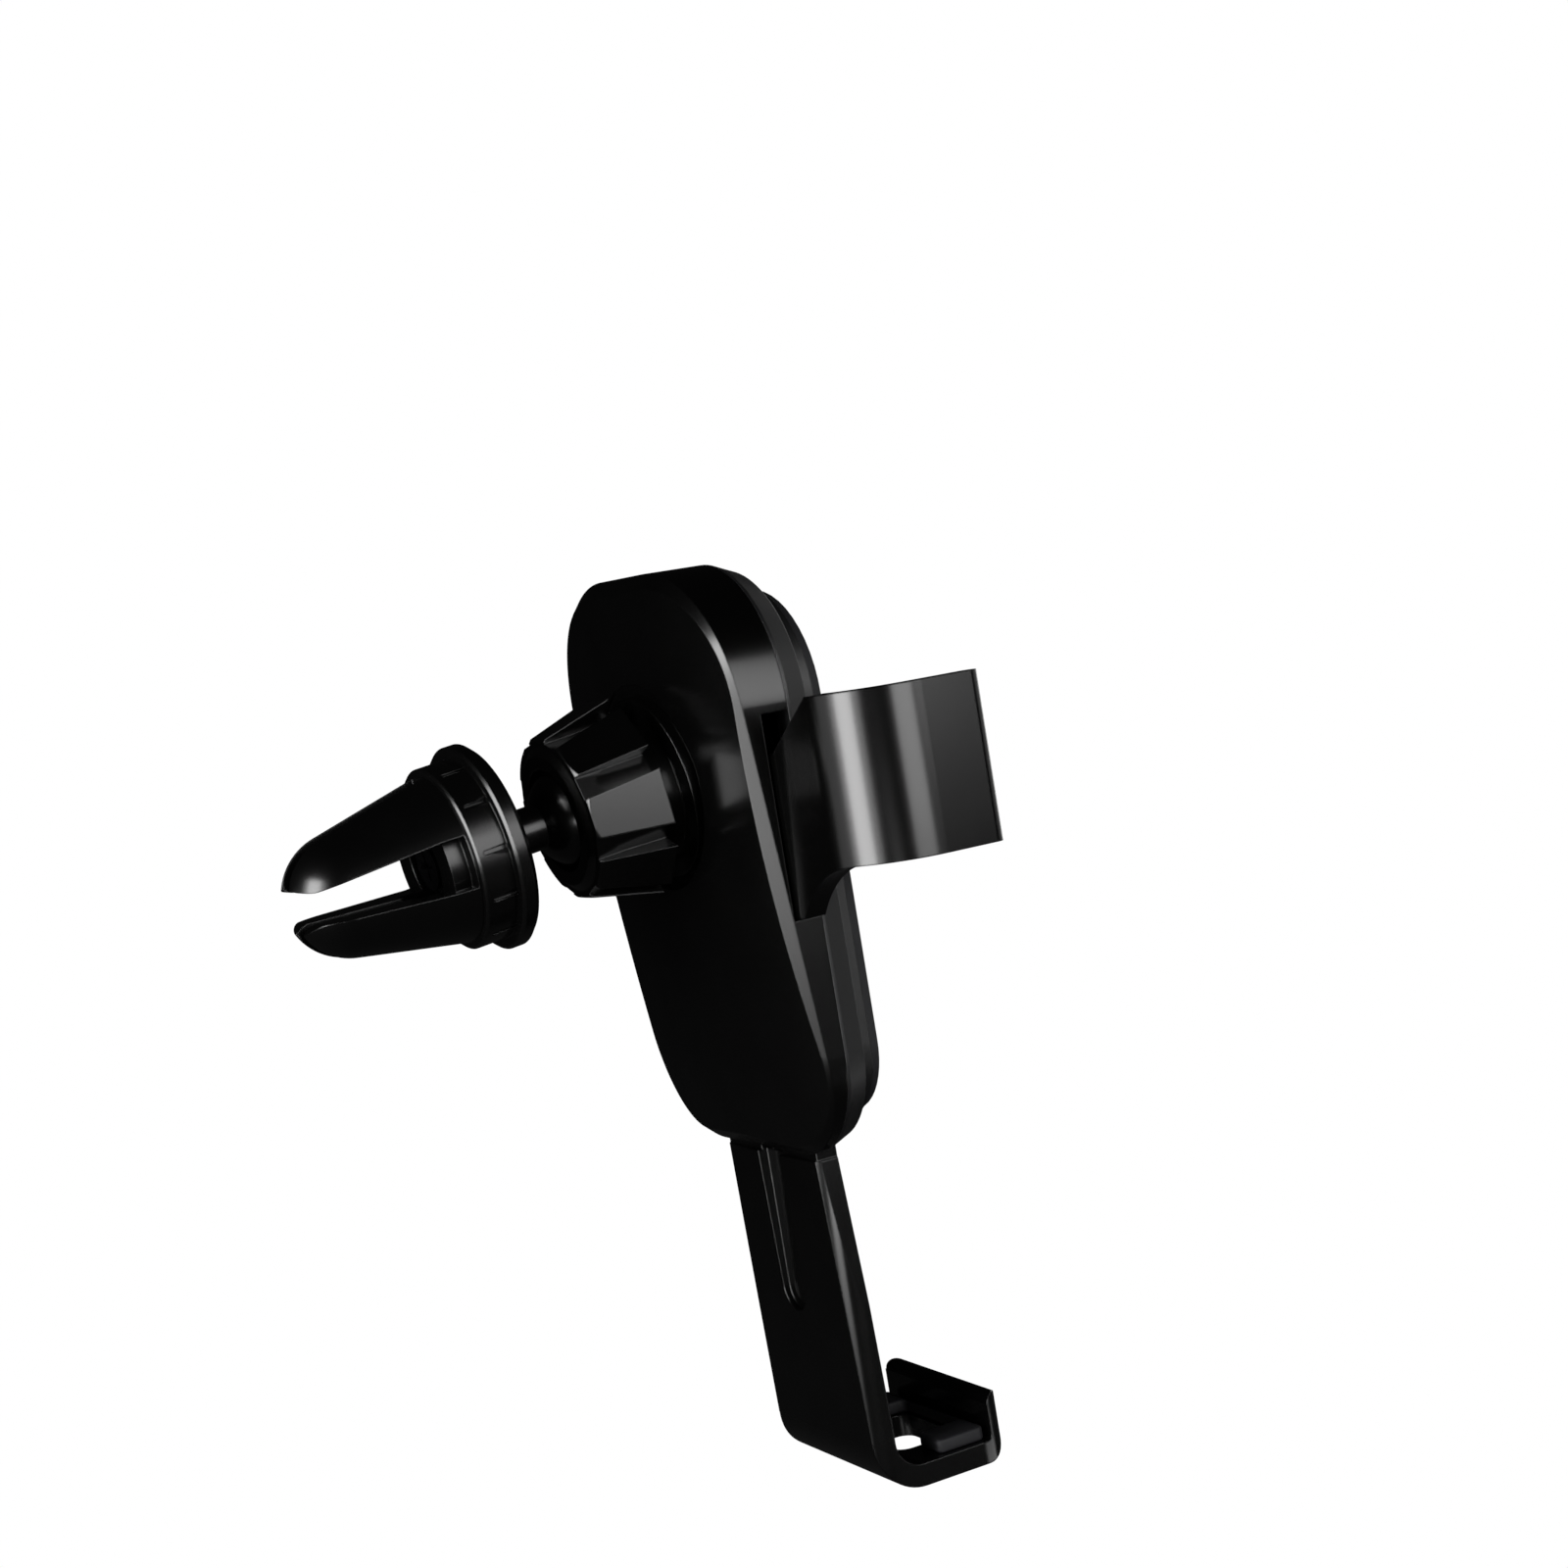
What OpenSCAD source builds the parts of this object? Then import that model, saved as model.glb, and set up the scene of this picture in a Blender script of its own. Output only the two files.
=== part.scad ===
// Gravity phone holder that clips onto a car's air vent, drawn closed on a phone.
// Z runs up the holder, the phone leans on the -Y side, the vent clip is on the +Y side.
// The origin is the middle of the clip's blade slot.

/* [Phone] */
// Width of the phone held in the drawn pose
phone_w = 71.9; // [66:0.1:78]
// Thickness of the phone
phone_t = 8.75; // [7:0.05:10]

/* [Body] */
// Width of the body
body_w = 43.6; // [42:0.1:48]
// Height of the body
body_h = 66.8; // [64:0.1:72]
// Height of the body's lower end above the foot's underside
body_z = 40.2; // [36:0.1:46]
// Corner radius at the upper end
corner_up = 16; // [14:0.5:18]
// Corner radius at the lower end
corner_low = 12; // [10:0.5:14]
// Distance from the phone's back to the front shell's rim
rim_gap = 3.4; // [3:0.1:4]
// Depth of the front shell's rim band
band_t = 2.9; // [2.5:0.1:3.5]
// How far the rim band leans inwards at its front
band_lean = 1.0; // [0.4:0.1:1.4]
// Distance from the phone's back to the back shell's rim, level with the ball
back_y = 12.0; // [11.8:0.1:13]
// Slope of the back face
back_slope = 4.75; // [3:0.25:6]
// Rise of the crowned back face over its side edges
crown = 2.1; // [1:0.1:3]
// Rise of the crowned back face over its upper and lower edges
crown_end = 1.5; // [0.8:0.1:2]
// Width of the flat that breaks the back edge
edge_flat = 0.95; // [0.5:0.05:1.3]
// Wall thickness of the shells
wall = 1.7; // [1.4:0.1:2]
// How far the pad stands in from the front shell's edge
pad_inset = 3.6; // [3:0.1:4.5]
// Width of the pad's ribbed field
field_w = 28; // [24:0.5:30]
// Distance between two of the pad's ribs
rib_pitch = 3.2; // [2.4:0.1:4]
// Width of a rib
rib_w = 1.5; // [1.2:0.1:1.8]
// Height of a rib
rib_h = 0.5; // [0.3:0.05:0.7]

/* [Arms] */
// Thickness of an arm's plate
arm_t = 2.5; // [2:0.1:2.6]
// Height of the arm's plate where it leaves the body
arm_root_h = 17.8; // [16:0.1:19]
// Height of the arm's hand
arm_hand_h = 18.0; // [16:0.1:20]
// Height of the arm plate's lower edge above the foot's underside
arm_z = 67.9; // [67:0.1:69]
// How far the hand sits above the root
arm_rise = 5.6; // [4:0.1:7]
// Outer radius of the arm's bend
arm_bend = 9; // [7:0.5:10]
// Thickness of the soft liner in the hand
liner_t = 1.45; // [1:0.05:2]
// Height of the ribs on the liner
liner_rib = 0.35; // [0.2:0.05:0.45]
// How far the hand reaches along the phone's side
hand_reach = 7.0; // [6:0.1:8]
// Travel of an arm to each side of the drawn pose
arm_travel = 5.5; // [4:0.1:5.5]

/* [Foot] */
// Width of the foot at its bend
foot_w = 23.8; // [22:0.1:24]
// Width of the tongue where it enters the body
tongue_w = 21.6; // [20:0.1:22]
// Thickness of the foot's floor and tongue
foot_t = 2.6; // [2.2:0.1:2.8]
// Outer radius of the foot's bend
foot_bend = 5.8; // [5:0.1:6]
// Thickness of the soft pad on the foot's floor
foot_pad_t = 1.6; // [1:0.1:2]
// Height of the lip in front of the phone
lip_h = 5.2; // [4:0.1:7]
// Width of the cable opening in the floor
cable_w = 12; // [10:0.5:13]
// Travel of the foot to each side of the drawn pose
foot_travel = 10; // [8:0.5:10]
// Radius of the pins that join the arms to the foot
pin_r = 1.25; // [1:0.05:1.3]

/* [Ball joint] */
// Downward tilt of the clip's axis
tilt = 7.5; // [4:0.5:9]
// Distance from the phone's back to the ball's middle
ball_y = 22.5; // [22:0.1:24]
// Height of the ball's middle above the foot's underside
ball_z = 82.1; // [80:0.1:84]
// Radius of the ball
ball_r = 6.2; // [6:0.05:6.3]
// Radius of the stud's neck
neck_r = 2.6; // [2.2:0.1:3]
// Radius of the threaded post
post_r = 8.0; // [7.8:0.1:8.2]
// Radius of the nut's grips at their back end
grip_r = 11.3; // [10.8:0.1:11.6]
// Number of grips round the nut
grips = 8; // [6:1:10]
// Width of the groove between two grips
groove_w = 2.8; // [2:0.1:3.2]

/* [Vent clip] */
// Distance from the ball's middle to the back of the clip nut
nut_back = 11.4; // [11:0.1:13]
// Radius of the clip nut's flange
flange_r = 11.6; // [11:0.1:12.5]
// Thickness of the clip nut's flange
flange_t = 2.1; // [1.6:0.1:2.6]
// Radius of the ribbed collar
collar_r = 10.3; // [9.8:0.1:10.6]
// Length of the ribbed collar
collar_h = 3.7; // [3.2:0.1:4.2]
// Number of grip slits round the collar
slits = 12; // [8:1:16]
// Radius of the prongs at their root
prong_r = 9.5; // [9:0.1:9.7]
// Radius of the prongs' rounded tips
tip_r = 6.95; // [6:0.05:7.2]
// Length of the prongs
prong_l = 18.4; // [16:0.1:22]
// Height of the blade slot at its root
slot_root = 5.7; // [5:0.1:6.2]
// Height of the blade slot at its mouth
slot_mouth = 3.0; // [2.6:0.1:3.6]
// Width of the upright slit between the prongs
slit_w = 2.8; // [2:0.1:3.4]
// Radius that rounds a prong's tip towards the blade slot
nose_r = 2.4; // [1:0.1:2.8]
// Radius of the hub at the slot's root
hub_r = 7.6; // [6:0.1:8]

/* [Fits] */
// Radial gap of a turning or sliding fit
run_gap = 0.05; // [0.02:0.01:0.1]
// Gap round pieces that are pressed or laid in place
lay_gap = 0.03; // [0.01:0.01:0.05]
// Gap beside sliding plates
slide_gap = 0.2; // [0.1:0.05:0.3]

/* [Show] */
// Piece to draw

/* [Hidden] */
$fn = 96;
e = 0.01;

// Clip axis, measured from the ball's middle
collar_s = nut_back + flange_t;
root_s = collar_s + collar_h;
hub_s = root_s + 2.2;
tip_s = root_s + prong_l;
blade_s = root_s + 9;
origin_y = ball_y + blade_s * cos(tilt);
origin_z = ball_z - blade_s * sin(tilt);
barrel_r = 7.0;
shank_r = 3.0;
screw_r = 1.2;
head_r = 2.8;
washer_r = 4.1;
washer_t = 0.5;

// Ball socket
seat_t = 0.7;
seat_s = -4.4;
pocket_s = -1.7;
vent_r = 1.2;
post_s = -10.05;
base_r = 10.6;
base_t = 1.35;
finger_s = 2.2;
nut_s0 = -5.5;
nut_s1 = 3.5;
post_screw_r = 0.85;
post_screw_at = 6.55;

// Body
half = body_w / 2;
seam_y = rim_gap + band_t;
body_top = body_z + body_h;
crown_r = (half * half + crown * crown) / (2 * crown);
crown_long_r = (body_h * body_h / 4 + crown_end * crown_end) / (2 * crown_end);
roof = 1.3;
rail_t = 1.6;
pad_front = 0;
pad_back = 2.1;
pad_rim = 0.8;
field_z = body_z + pad_inset + 12.6;
field_h = body_h - 2 * pad_inset - 24.6;

// Arms and the plate they slide in
arm_y1 = 9.3;
arm_y0 = arm_y1 - arm_t;
arm_x = phone_w / 2 + 0.05 + liner_t + lay_gap;
hand_x = arm_x + arm_t;
bend_x = hand_x - arm_bend;
bend_y = arm_y1 - arm_bend;
hand_z0 = arm_z + arm_rise;
hand_z1 = hand_z0 + arm_hand_h;
root_z1 = arm_z + arm_root_h;
window_z1 = arm_z + 22.2;
pin_x = 8.6;
pin_z = arm_z + 7.6;
arm_in = pin_x - pin_r - 1.05;

// Foot
plate_y0 = rim_gap + 0.1;
plate_y1 = plate_y0 + foot_t;
head_w = 2 * (pin_x + arm_travel + pin_r + 1.3);
cam_h = foot_travel;
head_z1 = pin_z + cam_h + pin_r + 1.75;
head_z0 = pin_z - cam_h - pin_r - 1.75;
cam_angle = atan(arm_travel / foot_travel);
cam_l = 2 * sqrt(arm_travel * arm_travel + cam_h * cam_h);
bend_back = 5.3;
bend_mid_y = bend_back - foot_bend;
floor_y = -(phone_t + 1.2);
tongue_up = 6.2;
tongue_crown = 0.5;
lip_fillet = 0.5;
foot_pad_y0 = floor_y + lip_fillet + lay_gap;
foot_pad_y1 = -3.2;

// Case screws
case_x = half - 7.6;
case_at = [[0, body_top - 5.8], [-case_x, body_z + 8], [case_x, body_z + 8]];
case_r = 1.0;
case_head_r = 2.0;
case_head_y = 3.5;
case_end_y = 8.8;

module home() {
    translate([0, -origin_y, -origin_z]) children();
}

// Local Z is the clip's axis, from the ball's middle towards the vent
module on_axis() {
    translate([0, ball_y, ball_z]) rotate([-(90 + tilt), 0, 0]) children();
}

// Extrudes an X-Z sketch from y0 to y1
module slab(y0, y1) {
    translate([0, y1, 0]) rotate([90, 0, 0]) linear_extrude(height = y1 - y0) children();
}

// Extrudes a Y-Z sketch from x0 to x1
module bar(x0, x1) {
    translate([x0, 0, 0]) rotate([90, 0, 90]) linear_extrude(height = x1 - x0) children();
}

// The frame of the sloping back face, level with the ball
module back_frame() {
    translate([0, back_y, ball_z + 1.1]) rotate([-back_slope, 0, 0])
        translate([0, 0, -ball_z - 1.1]) children();
}

module rounded(w, h, r) {
    square([w - 2 * r, h], center = true);
    square([w, h - 2 * r], center = true);
    for (x = [-1, 1], y = [-1, 1]) translate([x * (w / 2 - r), y * (h / 2 - r)]) circle(r);
}

module body_outline(inset) {
    up_z = body_top - corner_up;
    low_z = body_z + corner_low;
    translate([-half + inset, low_z]) square([body_w - 2 * inset, up_z - low_z]);
    translate([-half + corner_up, up_z - e]) square([body_w - 2 * corner_up, corner_up - inset + e]);
    translate([-half + corner_low, body_z + inset])
        square([body_w - 2 * corner_low, corner_low - inset + e]);
    for (x = [-1, 1]) {
        translate([x * (half - corner_up), up_z]) circle(corner_up - inset);
        translate([x * (half - corner_low), low_z]) circle(corner_low - inset);
    }
}

// The body's outline from y0 to y1, stepping in from in0 to in1 on the way. With ease above
// 0 its corners are that much rounder.
module leaning_outline(y0, y1, in0, in1, ease = 0) {
    up = corner_up + ease;
    low = corner_low + ease;
    translate([0, 0, body_z + low]) linear_extrude(height = body_h - up - low)
        polygon([[in0 - half, y0], [half - in0, y0], [half - in1, y1], [in1 - half, y1]]);
    bar(up - half, half - up) polygon([[y0, body_z + low], [y0, body_top - in0],
        [y1, body_top - in1], [y1, body_z + low]]);
    bar(low - half, half - low) polygon([[y0, body_top - up], [y0, body_z + in0],
        [y1, body_z + in1], [y1, body_top - up]]);
    for (x = [-1, 1]) {
        translate([x * (half - up), y0, body_top - up]) rotate([-90, 0, 0])
            cylinder(r1 = up - in0, r2 = up - in1, h = y1 - y0);
        translate([x * (half - low), y0, body_z + low]) rotate([-90, 0, 0])
            cylinder(r1 = low - in0, r2 = low - in1, h = y1 - y0);
    }
}

// Vent clip

module slot_profile(root, mouth, nose) {
    far_s = tip_s + 1;
    edge = mouth / 2 + (far_s - tip_s + nose) * (root - mouth) / 2 / (far_s - hub_s) + nose;
    polygon([[-root / 2, root_s + 0.2], [root / 2, root_s + 0.2], [root / 2, hub_s],
             [mouth / 2, far_s], [-mouth / 2, far_s], [-root / 2, hub_s]]);
    difference() {
        translate([-edge, tip_s - nose]) square([2 * edge, nose + 1]);
        for (x = [-1, 1]) translate([x * edge, tip_s - nose]) circle(nose);
    }
}

module vent_clip() {
    lean = (prong_r - tip_r) / (tip_s - tip_r - root_s);
    color([0.05, 0.05, 0.055]) home() on_axis() difference() {
        union() {
            difference() {
                union() {
                    translate([0, 0, root_s])
                        cylinder(r1 = prong_r, r2 = tip_r * cos(atan(lean)),
                                 h = tip_s - tip_r - root_s + tip_r * sin(atan(lean)));
                    translate([0, 0, tip_s - tip_r]) sphere(tip_r);
                }
                rotate([90, 0, 90]) linear_extrude(height = 30, center = true)
                    slot_profile(slot_root, slot_mouth, nose_r);
                rotate([90, 0, 0]) linear_extrude(height = 30, center = true)
                    slot_profile(slit_w + 0.4, slit_w - 0.4, nose_r / 2);
                translate([-20, -20, 0]) cube([40, 40, root_s]);
            }
            translate([0, 0, root_s]) cylinder(r = hub_r, h = hub_s - root_s);
            translate([0, 0, nut_back - 0.4]) cylinder(r = barrel_r, h = root_s - nut_back + 0.4 + e);
        }
        translate([0, 0, nut_back - 1]) cylinder(r = shank_r + run_gap, h = 10);
        translate([0, 0, root_s + 0.2]) cylinder(r = washer_r + 0.1, h = 5);
    }
}

module clip_nut() {
    color([0.05, 0.05, 0.055]) home() on_axis() difference() {
        union() {
            rotate_extrude() polygon([[6, nut_back], [flange_r - 0.6, nut_back],
                [flange_r, nut_back + 0.6], [flange_r, collar_s - 0.3],
                [flange_r - 0.3, collar_s], [6, collar_s]]);
            rotate_extrude() polygon([[6, collar_s - e], [collar_r, collar_s - e],
                [collar_r, root_s - 0.25], [collar_r - 0.25, root_s], [6, root_s]]);
        }
        translate([0, 0, nut_back - 1]) cylinder(r = barrel_r + run_gap, h = 10);
        for (i = [0 : slits - 1]) rotate([0, 0, i * 360 / slits + 3]) {
            translate([collar_r - 0.35, -0.25, collar_s]) cube([1, 0.5, collar_h - 1.1]);
            translate([collar_r - 0.35, 0, root_s - 1.1]) rotate([0, 90, 0]) cylinder(r = 0.25, h = 1);
        }
    }
}

module cross_recess(size, depth) {
    for (a = [0, 90]) rotate([0, 0, a]) translate([-size, -size / 5, -depth])
        cube([2 * size, size / 2.5, depth + 1]);
}

module clip_screw() {
    color([0.6, 0.6, 0.62]) home() on_axis() difference() {
        union() {
            translate([0, 0, root_s + 0.2 + washer_t + lay_gap]) cylinder(r = head_r, h = 1.3);
            translate([0, 0, nut_back - 0.3]) cylinder(r = screw_r, h = root_s - nut_back + 1.6);
        }
        translate([0, 0, root_s + 1.5 + washer_t + lay_gap]) cross_recess(1.7, 0.8);
    }
}

module clip_washer() {
    color([0.7, 0.7, 0.72]) home() on_axis() difference() {
        translate([0, 0, root_s + 0.2 + lay_gap / 2]) cylinder(r = washer_r, h = washer_t);
        translate([0, 0, root_s]) cylinder(r = screw_r + 0.15, h = 3);
    }
}

module ball_stud() {
    color([0.06, 0.06, 0.065]) home() on_axis() difference() {
        union() {
            sphere(ball_r);
            cylinder(r = neck_r, h = nut_back);
            translate([0, 0, nut_back - 2.4]) cylinder(r1 = neck_r, r2 = 4.4, h = 1);
            translate([0, 0, nut_back - 1.4 - e]) cylinder(r = 4.4, h = 0.95 + e);
            translate([0, 0, nut_back - 0.5]) cylinder(r = shank_r, h = root_s - nut_back + 0.6);
        }
        translate([0, 0, nut_back - 0.4]) cylinder(r = screw_r + lay_gap, h = 12);
    }
}

// Ball socket

module ball_seat() {
    color([0.75, 0.75, 0.72]) home() on_axis() difference() {
        sphere(ball_r + run_gap + seat_t);
        sphere(ball_r + run_gap);
        translate([0, 0, 10 + seat_s]) cube(20, center = true);
        translate([0, 0, seat_s - 6]) cylinder(r = vent_r, h = 6);
    }
}

module socket_post() {
    color([0.05, 0.05, 0.055]) home() on_axis() difference() {
        union() {
            translate([0, 0, post_s]) cylinder(r = base_r, h = base_t);
            translate([0, 0, post_s]) cylinder(r = post_r, h = -2.2 - post_s);
            translate([0, 0, -2.2 - e]) cylinder(r1 = post_r - 0.3, r2 = post_r - 0.95,
                                                 h = finger_s + 2.2 + e);
        }
        sphere(ball_r + run_gap);
        intersection() {
            sphere(ball_r + 2 * run_gap + seat_t);
            translate([0, 0, pocket_s - 10]) cube(20, center = true);
        }
        translate([0, 0, post_s - 1]) cylinder(r = vent_r, h = 6);
        for (a = [0 : 60 : 120]) rotate([0, 0, a]) translate([-12, -0.45, -1.6]) cube([24, 0.9, 8]);
        for (a = [30 : 120 : 270]) rotate([0, 0, a]) translate([post_screw_at, 0, post_s - 1])
            cylinder(r = post_screw_r + lay_gap, h = 6.2);
    }
}

module post_screws() {
    color([0.6, 0.6, 0.62]) home() on_axis() for (a = [30 : 120 : 270]) rotate([0, 0, a])
        translate([post_screw_at, 0, 0]) difference() {
            union() {
                translate([0, 0, post_s - 1.5]) cylinder(r = post_screw_r, h = 6.4);
                translate([0, 0, post_s - 1.5]) cylinder(r = 1.6, h = 0.7);
            }
            translate([0, 0, post_s - 1.5]) rotate([180, 0, 0]) cross_recess(0.9, 0.4);
        }
}

module socket_nut() {
    side = 180 / grips;
    color([0.05, 0.05, 0.055]) home() on_axis() difference() {
        union() {
            difference() {
                intersection() {
                    rotate_extrude() polygon([[5.4, nut_s0], [12.3, nut_s0], [12.3, nut_s0 + 1],
                        [10.2, nut_s1 - 1.6], [9.1, nut_s1 - 0.6], [5.4, nut_s1 - 0.6]]);
                    translate([0, 0, nut_s0 - e]) rotate([0, 0, side])
                        cylinder(r1 = grip_r / cos(side), r2 = (grip_r - 2.3) / cos(side),
                                 h = nut_s1 - nut_s0, $fn = grips);
                }
                for (i = [0 : grips - 1]) rotate([0, 0, (i + 0.5) * 360 / grips])
                    translate([8.8, -groove_w / 2, nut_s0 - 1]) cube([6, groove_w, 12]);
            }
            rotate_extrude() polygon([[5.4, nut_s0], [9.3, nut_s0], [8.7, nut_s1 - 1.5],
                [8.35, nut_s1 - 0.6], [7.5, nut_s1], [5.4, nut_s1]]);
        }
        translate([0, 0, nut_s0 - 1]) cylinder(r = post_r + run_gap, h = 4.3);
        translate([0, 0, -2.21]) cylinder(r1 = post_r - 0.1, r2 = post_r - 0.8, h = finger_s + 2.51);
        cylinder(r = ball_r - 0.2, h = 10);
    }
}

// Body

module back_solid() {
    intersection() {
        slab(seam_y, back_y + 8) body_outline(0);
        back_frame() {
            leaning_outline(-30, -edge_flat - 1 + e, -1, -1, 0.15);
            leaning_outline(-edge_flat - 1, 3.5 - edge_flat, -1, 3.5, 0.15);
        }
        back_frame() translate([0, crown - crown_long_r, body_z + body_h / 2])
            rotate([90, 0, 90]) rotate([0, 0, -8]) rotate_extrude(angle = 16, $fn = 512)
            intersection() {
                translate([crown_long_r - crown_r, 0]) circle(crown_r, $fn = 256);
                translate([crown_long_r - 60, -half - 2]) square([61, body_w + 4]);
            }
    }
}

module back_shell() {
    color([0.05, 0.05, 0.055]) home() difference() {
        union() {
            difference() {
                back_solid();
                intersection() {
                    slab(seam_y - 1, back_y + 8) body_outline(wall);
                    back_frame() slab(-30, -roof) translate([-40, 0]) square([80, 130]);
                }
            }
            intersection() {
                back_solid();
                slab(seam_y, back_y + 1) {
                    for (p = case_at) translate(p) circle(2.3);
                    translate([-15, root_z1 + slide_gap]) square([30, rail_t]);
                    translate([-half, arm_z - slide_gap - rail_t - 0.1]) square([body_w, rail_t]);
                }
            }
        }
        for (s = [-1, 1]) translate([s * half, 0, 0]) slab(seam_y - 0.05, arm_y1 + 0.35)
            translate([-wall - 1.5, arm_z - slide_gap])
            square([2 * wall + 3, window_z1 - arm_z + slide_gap]);
        slab(seam_y - 1, 6.95) translate([-foot_w / 2 - slide_gap, body_z - 1])
            square([foot_w + 2 * slide_gap, 20]);
        for (p = case_at) slab(seam_y - 1, case_end_y + 0.2) translate(p) circle(case_r + lay_gap);
        on_axis() translate([0, 0, post_s - lay_gap]) cylinder(r = 11.9, h = 30);
        on_axis() for (a = [30 : 120 : 270]) rotate([0, 0, a]) translate([post_screw_at, 0, 0]) {
            translate([0, 0, post_s - 4]) cylinder(r = post_screw_r + 0.2, h = 6);
            translate([0, 0, post_s - 6]) cylinder(r = 1.7, h = 5.3);
        }
    }
}

module front_shell() {
    color([0.09, 0.09, 0.095]) home() difference() {
        union() {
            slab(seam_y - 0.4, seam_y - 0.02) body_outline(0);
            leaning_outline(rim_gap, seam_y - 0.4 + e, band_lean, 0);
            slab(pad_back - pad_rim, rim_gap + e) body_outline(pad_inset - 0.6);
        }
        slab(pad_back - pad_rim - 1, pad_back) body_outline(pad_inset - lay_gap);
        slab(seam_y - 1.3, seam_y + 1) body_outline(wall + 1.2);
        slab(plate_y0 - slide_gap, seam_y + 1) {
            translate([-head_w / 2 - slide_gap, head_z0 - foot_travel - 0.4])
                square([head_w + 2 * slide_gap, head_z1 - head_z0 + 2 * foot_travel + 0.8]);
            translate([-foot_w / 2 - slide_gap, body_z - 1]) square([foot_w + 2 * slide_gap, 30]);
        }
        for (p = case_at) {
            slab(pad_back - 1, case_head_y + 0.1) translate(p) circle(case_head_r + 0.15);
            slab(0, seam_y + 1) translate(p) circle(case_r + 0.15);
        }
    }
}

module front_pad() {
    color([0.12, 0.12, 0.125]) home() {
        difference() {
            slab(pad_front, pad_back - lay_gap) body_outline(pad_inset);
            slab(pad_front - 1, pad_front + rib_h) translate([0, field_z + field_h / 2])
                rounded(field_w, field_h, 1.5);
        }
        for (z = [field_z + rib_pitch / 2 + 0.3 : rib_pitch : field_z + field_h - 1])
            slab(pad_front, pad_front + rib_h + e) translate([0, z]) rounded(field_w - 3, rib_w, 0.7);
    }
}

module case_screws() {
    color([0.6, 0.6, 0.62]) home() for (p = case_at) difference() {
        union() {
            slab(pad_back + 0.1, case_head_y) translate(p) circle(case_head_r);
            slab(pad_back + 0.1, case_end_y) translate(p) circle(case_r);
        }
        translate([p[0], pad_back + 0.1, p[1]]) rotate([90, 0, 0]) cross_recess(1.2, 0.6);
    }
}

module brake_strip() {
    color([0.35, 0.33, 0.3]) home() slab(plate_y1 + 0.68, plate_y1 + 1.35)
        translate([0, body_z + 7.3]) rounded(tongue_w - 4.6, 4, 1);
}

// Foot

module foot_side() {
    difference() {
        union() {
            translate([bend_mid_y, foot_bend]) circle(foot_bend);
            polygon([[bend_mid_y, foot_bend], [bend_back + tongue_crown, foot_bend],
                     [tongue_up + tongue_crown, body_z - 1], [tongue_up - foot_t, body_z - 1],
                     [bend_back - foot_t, foot_bend + 2], [bend_mid_y, foot_bend + 2]]);
            translate([floor_y - 2.3 + 3, 0]) square([bend_mid_y - floor_y - 0.7, foot_t]);
            translate([floor_y - 2.3 + 3, 3]) circle(3);
            translate([floor_y - 2.3, 3]) square([3, foot_t + lip_h - 4.1]);
            translate([floor_y - 1.2, foot_t + lip_h - 1.1]) circle(1.1);
        }
        translate([bend_mid_y, foot_bend]) circle(foot_bend - foot_t);
        translate([floor_y + lip_fillet, foot_t + lip_fillet]) circle(lip_fillet);
        translate([floor_y, foot_t + lip_fillet]) square([bend_mid_y - floor_y, 20]);
        translate([floor_y + lip_fillet, foot_t]) square([bend_mid_y - floor_y - lip_fillet, 20]);
        translate([bend_mid_y - 1, foot_bend]) square([bend_back - foot_t - bend_mid_y + 1, 3]);
    }
}

module foot() {
    color([0.05, 0.05, 0.055]) home() {
        difference() {
            intersection() {
                bar(-foot_w / 2, foot_w / 2) foot_side();
                slab(-20, 10) polygon([[-foot_w / 2, -1], [foot_w / 2, -1], [foot_w / 2, 22],
                    [tongue_w / 2, body_z + 5], [-tongue_w / 2, body_z + 5], [-foot_w / 2, 22]]);
                union() {
                    translate([0, bend_back + tongue_crown, foot_bend])
                        rotate([-atan((tongue_up - bend_back) / (body_z - 1 - foot_bend)), 0, 0])
                        translate([0, -140, -10]) cylinder(r = 140, h = 60, $fn = 256);
                }
                translate([0, -2.6, -1]) linear_extrude(height = 60) rounded(foot_w, 20, 4);
            }
            translate([0, (bend_mid_y - 0.3 + floor_y + 1.3) / 2, -1]) linear_extrude(height = 4)
                rounded(cable_w, bend_mid_y - 0.3 - floor_y - 1.3, 1.8);
            slab(tongue_up - 0.75, 12) {
                translate([0, 23]) circle(2.6);
                translate([-2.6, 23]) square([5.2, 30]);
            }
        }
        difference() {
            slab(plate_y0, plate_y1) {
                translate([-tongue_w / 2, body_z - 1 - e]) square([tongue_w, head_z0 - body_z + 2]);
                translate([0, (head_z0 + head_z1) / 2]) rounded(head_w, head_z1 - head_z0, 2);
            }
            slab(plate_y0 - 1, plate_y1 + 1) for (s = [-1, 1])
                translate([s * pin_x, pin_z]) rotate([0, 0, s * cam_angle]) {
                    square([2 * (pin_r + 0.08), cam_l], center = true);
                    for (t = [-1, 1]) translate([0, t * cam_l / 2]) circle(pin_r + 0.08);
                }
            slab(plate_y1 - 1.45, 12) translate([-2.6, body_z - 5]) square([5.2, 12]);
        }
    }
}

module foot_pad() {
    color([0.12, 0.12, 0.125]) home() difference() {
        translate([0, (foot_pad_y0 + foot_pad_y1) / 2, foot_t + lay_gap])
            linear_extrude(height = foot_pad_t - lay_gap)
            rounded(foot_w - 1.6, foot_pad_y1 - foot_pad_y0, 1.5);
        translate([0, (bend_mid_y - 0.3 + floor_y + 1.3) / 2, 0]) linear_extrude(height = 8)
            rounded(cable_w + 0.6, bend_mid_y - 0.3 - floor_y - 1.3 + 0.6, 1.9);
    }
}

// Arms

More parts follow.
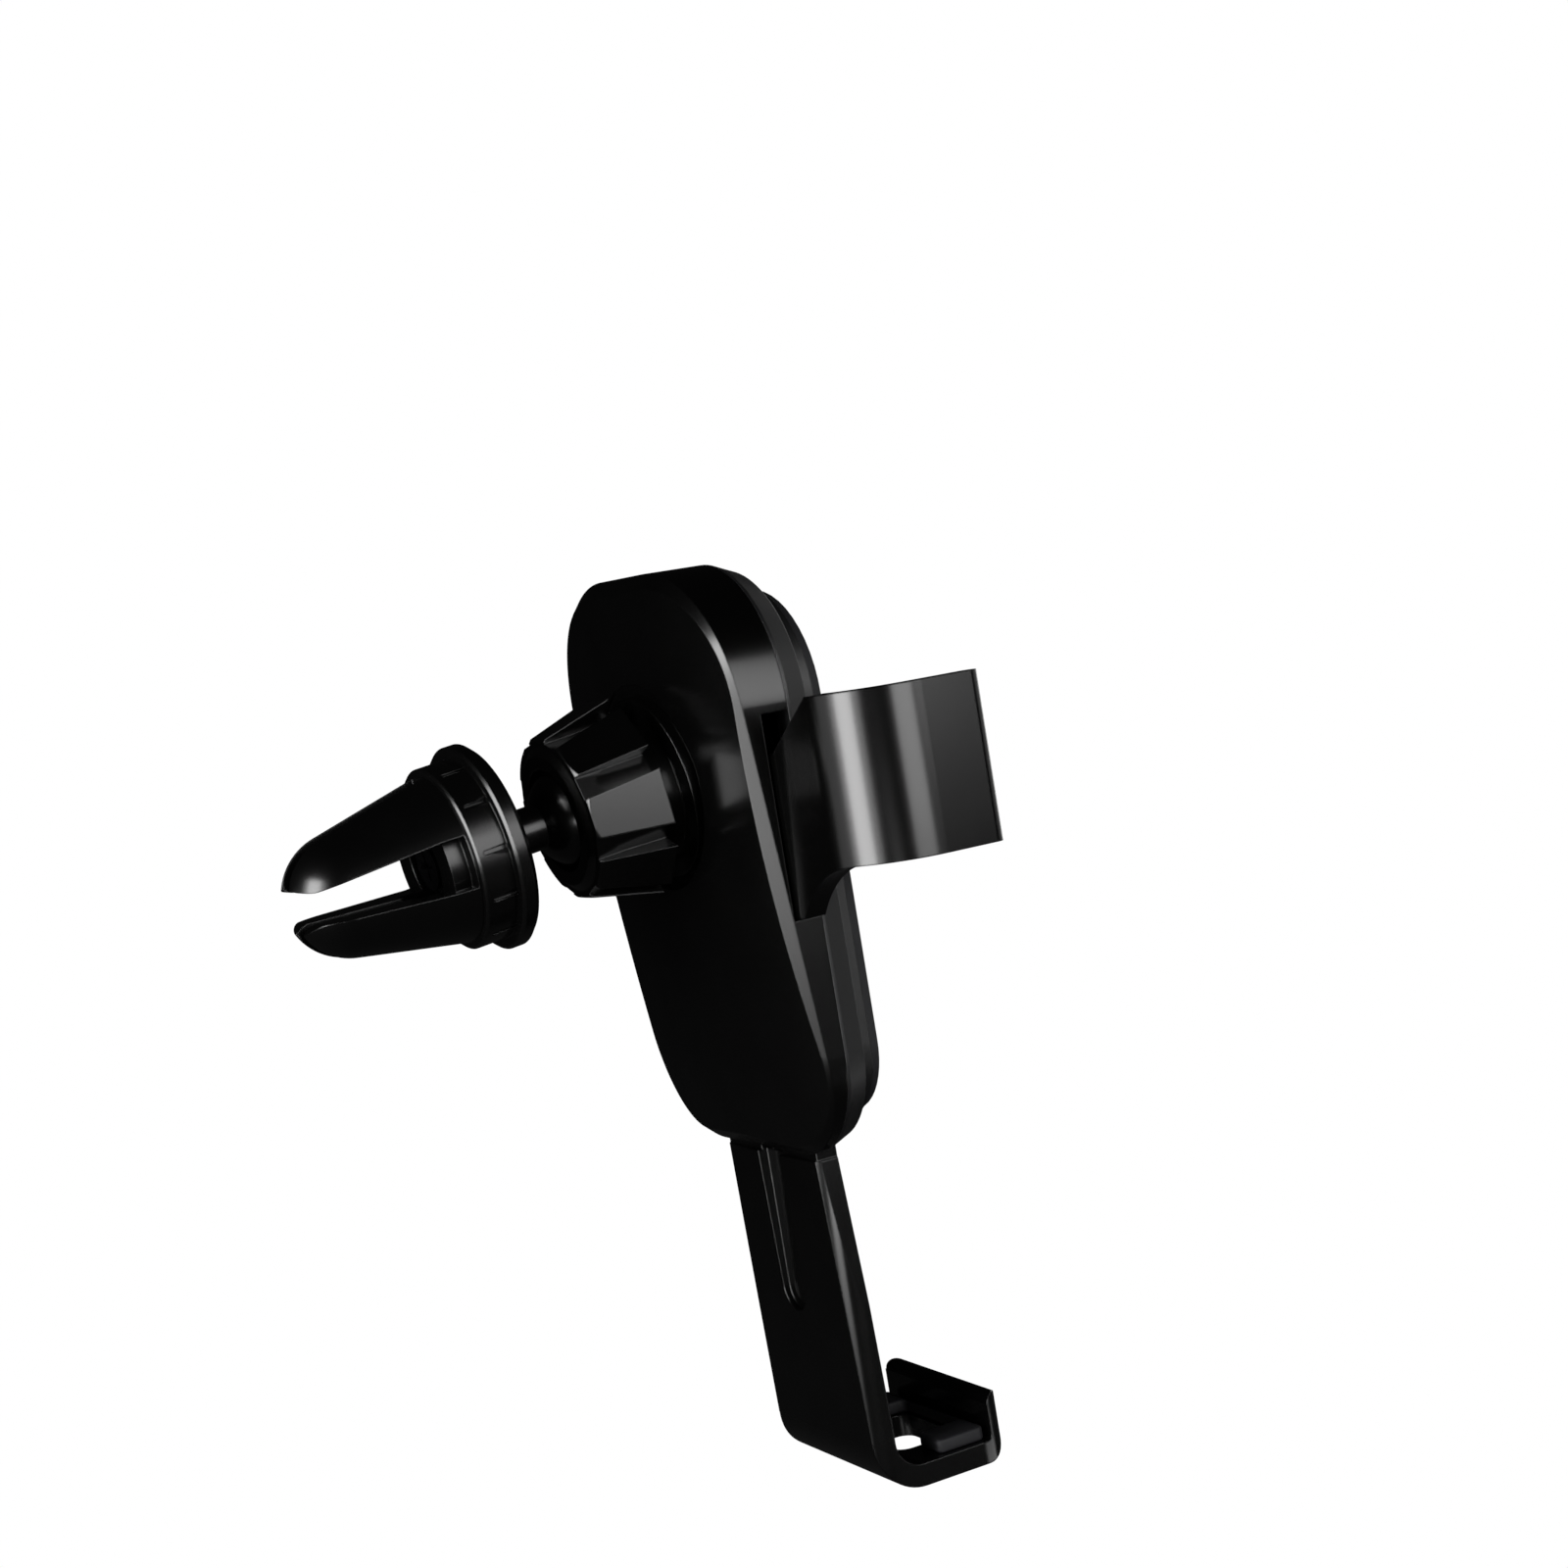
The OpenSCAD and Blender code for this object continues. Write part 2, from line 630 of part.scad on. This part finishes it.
module arm_plan() {
    translate([arm_in, arm_y0]) square([bend_x - arm_in, arm_t]);
    intersection() {
        difference() {
            translate([bend_x, bend_y]) circle(arm_bend);
            translate([bend_x, bend_y]) circle(arm_bend - arm_t);
        }
        translate([bend_x, bend_y]) square([20, 20]);
    }
    translate([arm_x, -hand_reach + 1.2]) square([arm_t, bend_y + hand_reach - 1.2 + e]);
    translate([arm_x + 1.2, -hand_reach + 1.2]) circle(1.2);
    translate([arm_x + arm_t - 1.2, -hand_reach + 1.2]) circle(1.2);
}

module arm_back() {
    step = 0.4;
    difference() {
        polygon([[arm_in, arm_z], [hand_x + 1, arm_z], [hand_x + 1, hand_z1], [half + 9.4, hand_z1],
                 [half + step, root_z1], [arm_in, root_z1]]);
        translate([half + 13.2, hand_z0 - 14.4]) circle(14.4);
        translate([half + 13.2, arm_z - 1]) square([20, hand_z0 - arm_z + 1]);
    }
}

module arm(s) {
    color([0.05, 0.05, 0.055]) home() mirror([s < 0 ? 1 : 0, 0, 0]) difference() {
        intersection() {
            translate([0, 0, arm_z - 1]) linear_extrude(height = 40) arm_plan();
            slab(-20, 20) arm_back();
        }
        slab(arm_y0 - 1, arm_y1 - 0.6) translate([pin_x, pin_z]) circle(pin_r + lay_gap);
    }
}

module arm_left() {
    arm(-1);
}

module arm_right() {
    arm(1);
}

module arm_liner(s) {
    color([0.12, 0.12, 0.125]) home() mirror([s < 0 ? 1 : 0, 0, 0]) {
        bar(arm_x - lay_gap - liner_t + liner_rib, arm_x - lay_gap)
            translate([-hand_reach / 2 + 0.15, (hand_z0 + hand_z1) / 2])
            rounded(hand_reach - 0.6, arm_hand_h - 2, 1.5);
        for (i = [-3 : 3]) translate([arm_x - lay_gap - liner_t + liner_rib,
            -hand_reach + 1.15, (hand_z0 + hand_z1) / 2 + i * 2.05])
            rotate([-90, 0, 0]) cylinder(r = liner_rib, h = hand_reach - 2);
    }
}

module arm_liner_left() {
    arm_liner(-1);
}

module arm_liner_right() {
    arm_liner(1);
}

module cam_pin(s) {
    color([0.6, 0.6, 0.62]) home() slab(plate_y0 + 0.1, arm_y1 - 0.65)
        translate([s * pin_x, pin_z]) circle(pin_r);
}

module cam_pin_left() {
    cam_pin(-1);
}

module cam_pin_right() {
    cam_pin(1);
}

vent_clip();
clip_nut();
clip_screw();
clip_washer();
ball_stud();
ball_seat();
socket_post();
post_screws();
socket_nut();
back_shell();
front_shell();
front_pad();
case_screws();
brake_strip();
foot();
foot_pad();
arm_left();
arm_right();
arm_liner_left();
arm_liner_right();
cam_pin_left();
cam_pin_right();
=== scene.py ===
import math

import bpy
from mathutils import Matrix, Vector
from mathutils.kdtree import KDTree


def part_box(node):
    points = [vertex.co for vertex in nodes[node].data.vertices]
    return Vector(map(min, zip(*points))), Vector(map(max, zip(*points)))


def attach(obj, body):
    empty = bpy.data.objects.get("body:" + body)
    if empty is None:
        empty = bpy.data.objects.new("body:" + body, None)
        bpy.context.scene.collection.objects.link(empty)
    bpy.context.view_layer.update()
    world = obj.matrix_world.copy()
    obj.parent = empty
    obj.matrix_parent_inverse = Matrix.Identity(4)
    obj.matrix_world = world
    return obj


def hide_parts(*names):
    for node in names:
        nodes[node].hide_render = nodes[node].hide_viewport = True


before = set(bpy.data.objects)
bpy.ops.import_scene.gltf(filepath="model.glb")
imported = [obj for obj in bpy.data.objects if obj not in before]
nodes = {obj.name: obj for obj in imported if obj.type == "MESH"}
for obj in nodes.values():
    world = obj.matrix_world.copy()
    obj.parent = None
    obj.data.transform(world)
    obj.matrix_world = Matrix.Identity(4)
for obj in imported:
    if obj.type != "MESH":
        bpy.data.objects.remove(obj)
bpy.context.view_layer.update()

# Camera. It stands where the photograph was taken from: left of the holder and behind it,
# level with the ball joint, and turned a few degrees about its own axis. Its place was solved
# from the object's known sizes, so nothing here is moved to frame the picture.
camera = bpy.data.objects.new("camera", bpy.data.cameras.new("camera"))
bpy.context.scene.collection.objects.link(camera)
camera.data.lens = 61.7
camera.data.sensor_width = 36
camera.data.clip_start = 0.01
right = Vector((-0.4669, -0.8693, -0.1621))
up = Vector((-0.0151, -0.1755, 0.9844))
back = right.cross(up).normalized()
up = back.cross(right).normalized()
turn = Matrix((right.normalized(), up, back)).transposed()
camera.matrix_world = Matrix.Translation((-0.2754, 0.0923, 0.0234)) @ turn.to_4x4()
bpy.context.scene.camera = camera
bpy.context.scene.view_settings.view_transform = "Standard"


def colour(code):
    parts = [int(code[i : i + 2], 16) / 255 for i in (1, 3, 5)]
    return tuple(p / 12.92 if p < 0.04045 else ((p + 0.055) / 1.055) ** 2.4 for p in parts) + (1.0,)


def add(tree, kind, settings=None, **links):
    made = tree.nodes.new(kind)
    for key, value in (settings or {}).items():
        if hasattr(made, key):
            setattr(made, key, value)
        else:
            made.inputs[key].default_value = value
    for key, source in links.items():
        name = key.replace("_", " ")
        tree.links.new(source, made.inputs[int(name[2:])] if name.startswith("at") else made.inputs[name])
    return made


# Floor and light. A floor far below and a surround that the camera sees as white, as in a
# product picture. What the black plastic mirrors is a dim room with a few soft boxes, because
# gloss black shows little but the lights round it.
floor = bpy.data.objects.new("floor", bpy.data.meshes.new("floor"))
floor.data.from_pydata([(-4, -4, -0.3), (4, -4, -0.3), (4, 4, -0.3), (-4, 4, -0.3)], [], [(0, 1, 2, 3)])
bpy.context.scene.collection.objects.link(floor)
pale = bpy.data.materials.new("white_backdrop")
pale.use_nodes = True
tree = pale.node_tree
tree.nodes.clear()
seen = add(tree, "ShaderNodeLightPath")
matt = add(tree, "ShaderNodeBsdfDiffuse", {"Color": colour("#303030")})
white = add(tree, "ShaderNodeEmission", {"Strength": 1.0})
straight = add(tree, "ShaderNodeMath", {"operation": "MAXIMUM"}, at0=seen.outputs["Is Camera Ray"],
               at1=seen.outputs["Is Transmission Ray"])
mixed = add(tree, "ShaderNodeMixShader", None, Fac=straight.outputs[0], at1=matt.outputs[0], at2=white.outputs[0])
add(tree, "ShaderNodeOutputMaterial", None, Surface=mixed.outputs[0])
floor.data.materials.append(pale)

world = bpy.data.worlds.new("surround")
bpy.context.scene.world = world
world.use_nodes = True
tree = world.node_tree
tree.nodes.clear()
seen = add(tree, "ShaderNodeLightPath")
straight = add(tree, "ShaderNodeMath", {"operation": "MAXIMUM"}, at0=seen.outputs["Is Camera Ray"],
               at1=seen.outputs["Is Transmission Ray"])
mirrored = add(tree, "ShaderNodeMapRange", {"To Min": 0.05, "To Max": 0.004}, Value=seen.outputs["Is Glossy Ray"])
level = add(tree, "ShaderNodeMath", {"operation": "MAXIMUM"}, at0=straight.outputs[0], at1=mirrored.outputs[0])
sky = add(tree, "ShaderNodeBackground", {"Color": (1, 1, 1, 1)}, Strength=level.outputs[0])
add(tree, "ShaderNodeOutputWorld", None, Surface=sky.outputs[0])


def soft_box(name, azimuth, elevation, distance, width, height, level):
    # azimuth and elevation in degrees as seen from the holder; level 1 mirrors as white does
    lamp = bpy.data.lights.new(name, "AREA")
    lamp.shape = "RECTANGLE"
    lamp.size = width
    lamp.size_y = height
    lamp.energy = level * math.pi * width * height
    box = bpy.data.objects.new(name, lamp)
    turned, raised = math.radians(azimuth), math.radians(elevation)
    place = distance * Vector((math.cos(turned) * math.cos(raised), math.sin(turned) * math.cos(raised),
                               math.sin(raised)))
    box.matrix_world = Matrix.Translation(place) @ place.to_track_quat("Z", "Y").to_matrix().to_4x4()
    bpy.context.scene.collection.objects.link(box)
    return box


soft_box("vent_side_box", 103, 5, 1.0, 0.85, 1.0, 3)
soft_box("vent_side_core", 102, 8, 1.0, 0.46, 0.90, 9)
soft_box("back_sheen_box", 68, -4, 1.0, 0.40, 0.60, 0.7)
soft_box("near_side_box", 184, 8, 1.2, 0.60, 0.62, 5.5)
soft_box("wall_box", 207, 15, 1.2, 0.25, 0.74, 4)
soft_box("band_side_box", 255, 8, 1.2, 0.85, 0.64, 0.6)
soft_box("groove_box", 145, -15, 1.0, 0.24, 0.13, 8)
soft_box("low_side_box", 240, -28, 0.6, 0.35, 0.10, 2.5)
soft_box("front_box", 295, 5, 1.2, 0.6, 0.8, 2)


# Body. Two shells moulded in ABS: the crowned back and the band next to the phone. The back,
# arms, foot and nut come from polished moulds and mirror the lights softly; the band comes
# from a sand-blasted mould and is a shade greyer.
def moulded(name, base, roughness, ior, grain_mm, grain_height_mm, rounding_mm, spread):
    made = bpy.data.materials.new(name)
    made.use_nodes = True
    tree = made.node_tree
    shader = tree.nodes["Principled BSDF"]
    shader.inputs["IOR"].default_value = ior
    place = add(tree, "ShaderNodeTexCoord").outputs["Object"]
    # the slow change in gloss that handling leaves, a few millimetres across
    cloud = add(tree, "ShaderNodeTexNoise", {"Scale": 160.0, "Detail": 4.0}, Vector=place)
    rough = add(tree, "ShaderNodeMapRange", {"From Min": 0.3, "From Max": 0.7,
                "To Min": roughness - spread, "To Max": roughness + spread}, Value=cloud.outputs["Fac"])
    tree.links.new(rough.outputs[0], shader.inputs["Roughness"])
    tone = add(tree, "ShaderNodeMapRange", {"From Min": 0.3, "From Max": 0.7, "To Min": 0.9, "To Max": 1.1},
               Value=cloud.outputs["Fac"])
    shade = add(tree, "ShaderNodeVectorMath", {"operation": "SCALE"}, Scale=tone.outputs[0])
    shade.inputs[0].default_value = colour(base)[:3]
    tree.links.new(shade.outputs[0], shader.inputs["Base Color"])
    # the mould's own surface, and the small radius that every moulded edge has
    edge = add(tree, "ShaderNodeBevel", {"samples": 4, "Radius": rounding_mm / 1000})
    grain = add(tree, "ShaderNodeTexNoise", {"Scale": 1000.0 / grain_mm, "Detail": 2.0}, Vector=place)
    bump = add(tree, "ShaderNodeBump", {"Strength": 1.0, "Distance": grain_height_mm / 1000},
               Height=grain.outputs["Fac"], Normal=edge.outputs[0])
    tree.links.new(bump.outputs[0], shader.inputs["Normal"])
    return made


def finish(names, material):
    for name in names:
        piece = nodes[name]
        piece.data.materials.clear()
        piece.data.materials.append(material)


gloss_abs = moulded("gloss_black_abs", "#020202", 0.20, 1.53, 2.2, 0.0012, 0.25, 0.008)
satin_abs = moulded("satin_black_abs", "#0e0e0f", 0.40, 1.53, 0.35, 0.006, 0.2, 0.02)
finish(["back_shell", "arm_left", "arm_right", "socket_nut", "socket_post"], gloss_abs)
finish(["front_shell"], satin_abs)

# Vent clip. Prongs, barrel, nut and stud are unfilled nylon, tough enough to spring. To the
# eye it is as black as the body, with slightly softer highlights.
nylon = moulded("black_nylon", "#030303", 0.22, 1.52, 1.2, 0.0012, 0.2, 0.012)
finish(["vent_clip", "clip_nut", "ball_stud"], nylon)

# Hidden works. The seat behind the ball is natural acetal, slick and milky; the brake strip
# is pressed grey felt, glued behind the tongue.
acetal = moulded("natural_acetal", "#cfcec8", 0.35, 1.48, 0.8, 0.003, 0.1, 0.04)
finish(["ball_seat"], acetal)
felt = moulded("pressed_felt", "#5a5753", 0.9, 1.45, 0.12, 0.12, 0.2, 0.05)
finish(["brake_strip"], felt)

# Screws, washer and pins. Turned steel, with the fine rings that the tool leaves. The case and
# post screws and the cam pins are zinc plated and bright; the screw and washer in the clip are
# black oxide, so that nothing shines between the prongs.
def turned_steel(name, base, low, high):
    made = bpy.data.materials.new(name)
    made.use_nodes = True
    tree = made.node_tree
    shader = tree.nodes["Principled BSDF"]
    shader.inputs["Base Color"].default_value = colour(base)
    shader.inputs["Metallic"].default_value = 1.0
    place = add(tree, "ShaderNodeTexCoord").outputs["Object"]
    rings = add(tree, "ShaderNodeTexNoise", {"Scale": 5000.0, "Detail": 2.0}, Vector=place)
    rough = add(tree, "ShaderNodeMapRange", {"To Min": low, "To Max": high}, Value=rings.outputs["Fac"])
    tree.links.new(rough.outputs[0], shader.inputs["Roughness"])
    bump = add(tree, "ShaderNodeBump", {"Strength": 0.6, "Distance": 0.00002}, Height=rings.outputs["Fac"])
    tree.links.new(bump.outputs[0], shader.inputs["Normal"])
    return made


zinc = turned_steel("bright_zinc_on_steel", "#b9babd", 0.28, 0.42)
oxide = turned_steel("black_oxide_steel", "#1b1b1d", 0.32, 0.45)
finish(["post_screws", "case_screws", "cam_pin_left", "cam_pin_right"], zinc)
finish(["clip_screw", "clip_washer"], oxide)

# Front pad. A soft silicone sheet laid in the front shell's recess: a smooth border round a
# sunk field, and low ribs across the field that keep the phone from sliding.
silicone = moulded("black_silicone", "#17171a", 0.62, 1.41, 0.25, 0.012, 0.15, 0.06)


def rounded_loop(u0, u1, v0, v1, r_low, r_up, steps=12):
    loop = []
    for u, v, r, start in ((u1, v1, r_up, 0), (u0, v1, r_up, 90), (u0, v0, r_low, 180), (u1, v0, r_low, 270)):
        cu = u - r if start in (0, 270) else u + r
        cv = v - r if start in (0, 90) else v + r
        for i in range(steps + 1):
            a = math.radians(start + 90 * i / steps)
            loop.append((cu + r * math.cos(a), cv + r * math.sin(a)))
    return loop


def moulded_pad(name, rings, node, body, edge):
    # rings run from the back, round the side and over the front; both ends are closed flat
    count = len(rings[0])
    corners = [p for ring in rings for p in ring]
    faces = [tuple(reversed(range(count))), tuple(range(len(corners) - count, len(corners)))]
    for k in range(len(rings) - 1):
        for i in range(count):
            j = (i + 1) % count
            faces.append((k * count + i, k * count + j, (k + 1) * count + j, (k + 1) * count + i))
    mesh = bpy.data.meshes.new(name)
    mesh.from_pydata(corners, [], faces)
    rough_cut = bpy.data.objects.new(name + "_cut", mesh)
    bpy.context.scene.collection.objects.link(rough_cut)
    rounding = rough_cut.modifiers.new("edge", "BEVEL")
    rounding.width = edge
    rounding.segments = 4
    rounding.limit_method = "ANGLE"
    rounding.angle_limit = math.radians(40)
    shaped = bpy.data.meshes.new_from_object(rough_cut.evaluated_get(bpy.context.evaluated_depsgraph_get()))
    bpy.data.objects.remove(rough_cut)
    shaped.shade_smooth()
    shaped.set_sharp_from_angle(angle=math.radians(50))
    shaped.materials.clear()
    shaped.materials.append(silicone)
    pad = bpy.data.objects.new(name, shaped)
    bpy.context.scene.collection.objects.link(pad)
    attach(pad, body)
    if node:
        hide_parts(node)
    return pad


lo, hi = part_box("front_pad")
mm = 0.001


def at_y(loop, y):
    return [(u, y, v) for u, v in loop]


outer = rounded_loop(lo.x, hi.x, lo.z, hi.z, 8.4 * mm, 12.4 * mm)
field = (-14 * mm, 14 * mm, lo.z + 12.6 * mm, hi.z - 12.0 * mm)
inner = rounded_loop(*field, 1.5 * mm, 1.5 * mm)
moulded_pad("front_pad_sheet", [at_y(outer, hi.y), at_y(outer, lo.y), at_y(inner, lo.y), at_y(inner, lo.y + 0.5 * mm)],
            "front_pad", "holder", 0.28 * mm)


# Ribs on the soft parts. Each is a low bar with round ends, moulded in one with its sheet;
# one tree lays them out at an even pitch along Z and is run again for each sheet.
ribs = bpy.data.node_groups.new("grip_ribs", "GeometryNodeTree")
for label, kind in (("Length", "NodeSocketFloat"), ("Width", "NodeSocketFloat"), ("Pitch", "NodeSocketFloat"),
                    ("Count", "NodeSocketInt"), ("Material", "NodeSocketMaterial")):
    ribs.interface.new_socket(label, in_out="INPUT", socket_type=kind)
ribs.interface.new_socket("Geometry", in_out="OUTPUT", socket_type="NodeSocketGeometry")
given = add(ribs, "NodeGroupInput")
half = add(ribs, "ShaderNodeMath", {"operation": "MULTIPLY"}, at0=given.outputs["Length"])
half.inputs[1].default_value = 0.5
minus = add(ribs, "ShaderNodeMath", {"operation": "MULTIPLY"}, at0=half.outputs[0])
minus.inputs[1].default_value = -1.0
start = add(ribs, "ShaderNodeCombineXYZ", None, X=minus.outputs[0])
end = add(ribs, "ShaderNodeCombineXYZ", None, X=half.outputs[0])
line = add(ribs, "GeometryNodeCurvePrimitiveLine", None, Start=start.outputs[0], End=end.outputs[0])
fine = add(ribs, "GeometryNodeResampleCurve", {"Count": 41}, Curve=line.outputs[0])
along = add(ribs, "GeometryNodeSplineParameter")
# distance from the nearer end, in units of the half width, so that the ends come out round
away = add(ribs, "ShaderNodeMath", {"operation": "PINGPONG"}, at0=along.outputs["Length"], at1=half.outputs[0])
thin = add(ribs, "ShaderNodeMath", {"operation": "MULTIPLY"}, at0=given.outputs["Width"])
thin.inputs[1].default_value = 0.5
part = add(ribs, "ShaderNodeMath", {"operation": "DIVIDE", "use_clamp": True}, at0=away.outputs[0], at1=thin.outputs[0])
rest = add(ribs, "ShaderNodeMath", {"operation": "SUBTRACT"}, at1=part.outputs[0])
rest.inputs[0].default_value = 1.0
square = add(ribs, "ShaderNodeMath", {"operation": "MULTIPLY"}, at0=rest.outputs[0], at1=rest.outputs[0])
under = add(ribs, "ShaderNodeMath", {"operation": "SUBTRACT", "use_clamp": True}, at1=square.outputs[0])
under.inputs[0].default_value = 1.002
root = add(ribs, "ShaderNodeMath", {"operation": "SQRT"}, at0=under.outputs[0])
bar = add(ribs, "GeometryNodeCurvePrimitiveCircle", {"Resolution": 20}, Radius=thin.outputs[0])
swept = add(ribs, "GeometryNodeCurveToMesh", {"Fill Caps": True}, Curve=fine.outputs[0], at1=bar.outputs[0])
if "Scale" in swept.inputs:
    ribs.links.new(root.outputs[0], swept.inputs["Scale"])
else:
    sized = add(ribs, "GeometryNodeSetCurveRadius", None, Curve=fine.outputs[0], Radius=root.outputs[0])
    ribs.links.new(sized.outputs[0], swept.inputs[0])
step = add(ribs, "ShaderNodeCombineXYZ", None, Z=given.outputs["Pitch"])
row = add(ribs, "GeometryNodeMeshLine", None, Count=given.outputs["Count"], Offset=step.outputs[0])
copies = add(ribs, "GeometryNodeInstanceOnPoints", None, Points=row.outputs[0], Instance=swept.outputs[0])
solid = add(ribs, "GeometryNodeRealizeInstances", None, Geometry=copies.outputs[0])
smooth = add(ribs, "GeometryNodeSetShadeSmooth", None, Geometry=solid.outputs[0])
coated = add(ribs, "GeometryNodeSetMaterial", None, Geometry=smooth.outputs[0], Material=given.outputs["Material"])
add(ribs, "NodeGroupOutput", None, Geometry=coated.outputs[0])


def rib_row(name, body, first, length, width, pitch, count, rise, turned=0.0):
    # first is the middle of the lowest rib; rise flattens the round bar to a low one, in Y
    holder = bpy.data.objects.new(name + "_cut", bpy.data.meshes.new(name + "_cut"))
    bpy.context.scene.collection.objects.link(holder)
    run = holder.modifiers.new("ribs", "NODES")
    run.node_group = ribs
    values = {"Length": length, "Width": width, "Pitch": pitch, "Count": count, "Material": silicone}
    for item in ribs.interface.items_tree:
        if item.in_out == "INPUT":
            run[item.identifier] = values[item.name]
    mesh = bpy.data.meshes.new_from_object(holder.evaluated_get(bpy.context.evaluated_depsgraph_get()))
    bpy.data.objects.remove(holder)
    mesh.transform(Matrix.Translation(first) @ Matrix.Rotation(turned, 4, "Z") @ Matrix.Diagonal((1, rise, 1, 1)))
    row = bpy.data.objects.new(name, mesh)
    bpy.context.scene.collection.objects.link(row)
    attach(row, body)
    return row


rib_row("front_pad_ribs", "holder", Vector((0, lo.y + 0.55 * mm, field[2] + 1.9 * mm)), 25 * mm, 1.5 * mm, 3.2 * mm, 11, 0.7)

# Foot. One gloss ABS moulding: tongue, bend, floor and lip. In the CAD solid the bend's wall
# runs on a little way above the bend, as a ledge that the moulding would not have; the ledge
# is cut from a copy, flush with the tongue's front.
lo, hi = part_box("foot")
floor_front = lo.y + 12.25 * mm
ledge = [(-1.0, 8.79), (2.728, 8.79), (2.814, 11.8), (-1.0, 11.8)]
corners = [(x, floor_front + y * mm, lo.z + z * mm) for x in (lo.x - mm, hi.x + mm) for y, z in ledge]
knife = bpy.data.objects.new("ledge_cut", bpy.data.meshes.new("ledge_cut"))
knife.data.from_pydata(corners, [], [(3, 2, 1, 0), (4, 5, 6, 7), (0, 1, 5, 4), (1, 2, 6, 5), (2, 3, 7, 6), (3, 0, 4, 7)])
rough_cut = bpy.data.objects.new("foot_cut", nodes["foot"].data.copy())
for made in (knife, rough_cut):
    bpy.context.scene.collection.objects.link(made)
trim = rough_cut.modifiers.new("ledge", "BOOLEAN")
trim.operation = "DIFFERENCE"
trim.solver = "EXACT"
trim.object = knife
cut = bpy.data.meshes.new_from_object(rough_cut.evaluated_get(bpy.context.evaluated_depsgraph_get()))
rough_cut.modifiers.clear()
for made in (knife, rough_cut):
    bpy.data.objects.remove(made)
# corners that the cut left alone take back the surface normals of the CAD solid, so that the
# tongue mirrors as evenly as before; the corners of new faces are flat
solid = nodes["foot"].data
face_normal = {i: face.normal for face in solid.polygons for i in face.loop_indices}
corner_at = KDTree(len(solid.loops))
for i, corner in enumerate(solid.loops):
    corner_at.insert(solid.vertices[corner.vertex_index].co, i)
corner_at.balance()
normals = [None] * len(cut.loops)
for face in cut.polygons:
    for i in face.loop_indices:
        here = corner_at.find_range(cut.vertices[cut.loops[i].vertex_index].co, 0.001 * mm)
        alike, kept = max(((face.normal.dot(face_normal[j]), j) for _, j, _ in here), default=(0, None))
        normals[i] = solid.corner_normals[kept].vector if alike > 0.98 else face.normal
cut.shade_smooth()
cut.normals_split_custom_set([tuple(n) for n in normals])
cut.materials.clear()
cut.materials.append(gloss_abs)
foot = bpy.data.objects.new("foot_moulding", cut)
bpy.context.scene.collection.objects.link(foot)
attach(foot, "foot_slider")
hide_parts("foot")

# Foot pad. A small silicone sheet laid on the foot's floor round the cable opening, which
# runs out of it towards the body, so the sheet is a U.
lo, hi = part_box("foot_pad")
gap = 6.3 * mm
inlet = lo.y + 0.47 * mm
shape = [(hi.x, hi.y), (hi.x, lo.y), (lo.x, lo.y), (lo.x, hi.y), (-gap, hi.y), (-gap, inlet), (gap, inlet), (gap, hi.y)]


def cut_corners(points, size):
    loop = []
    for k, (x, y) in enumerate(points):
        for other in (points[k - 1], points[(k + 1) % len(points)]):
            way = Vector((other[0] - x, other[1] - y))
            reach = min(size, way.length * 0.45)
            way = way.normalized() * reach
            loop.append((x + way.x, y + way.y))
    return loop


loop = list(reversed(cut_corners(shape, 0.5 * mm)))
moulded_pad("foot_pad_sheet", [[(x, y, lo.z) for x, y in loop], [(x, y, hi.z) for x, y in loop]],
            "foot_pad", "foot_slider", 0.3 * mm)

# Arm liners. A silicone strip glued inside each hand, with ribs along the phone's edge so
# that the phone can be lifted out.
for side, sign in (("left", -1), ("right", 1)):
    lo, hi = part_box("arm_liner_" + side)
    glued, free = (lo.x, hi.x) if sign < 0 else (hi.x, lo.x)
    towards = 1 if free > glued else -1
    face = free - towards * 0.35 * mm
    loop = rounded_loop(lo.y, hi.y, lo.z, hi.z, 1.5 * mm, 1.5 * mm)
    if towards < 0:
        loop = list(reversed(loop))
    moulded_pad("arm_liner_sheet_" + side, [[(glued, u, v) for u, v in loop], [(face, u, v) for u, v in loop]],
                "arm_liner_" + side, side + "_arm", 0.3 * mm)
    rib_row("arm_liner_ribs_" + side, side + "_arm", Vector((face, (lo.y + hi.y) / 2, lo.z + 1.85 * mm)),
            5.0 * mm, 1.1 * mm, 2.05 * mm, 7, 0.62, math.pi / 2)
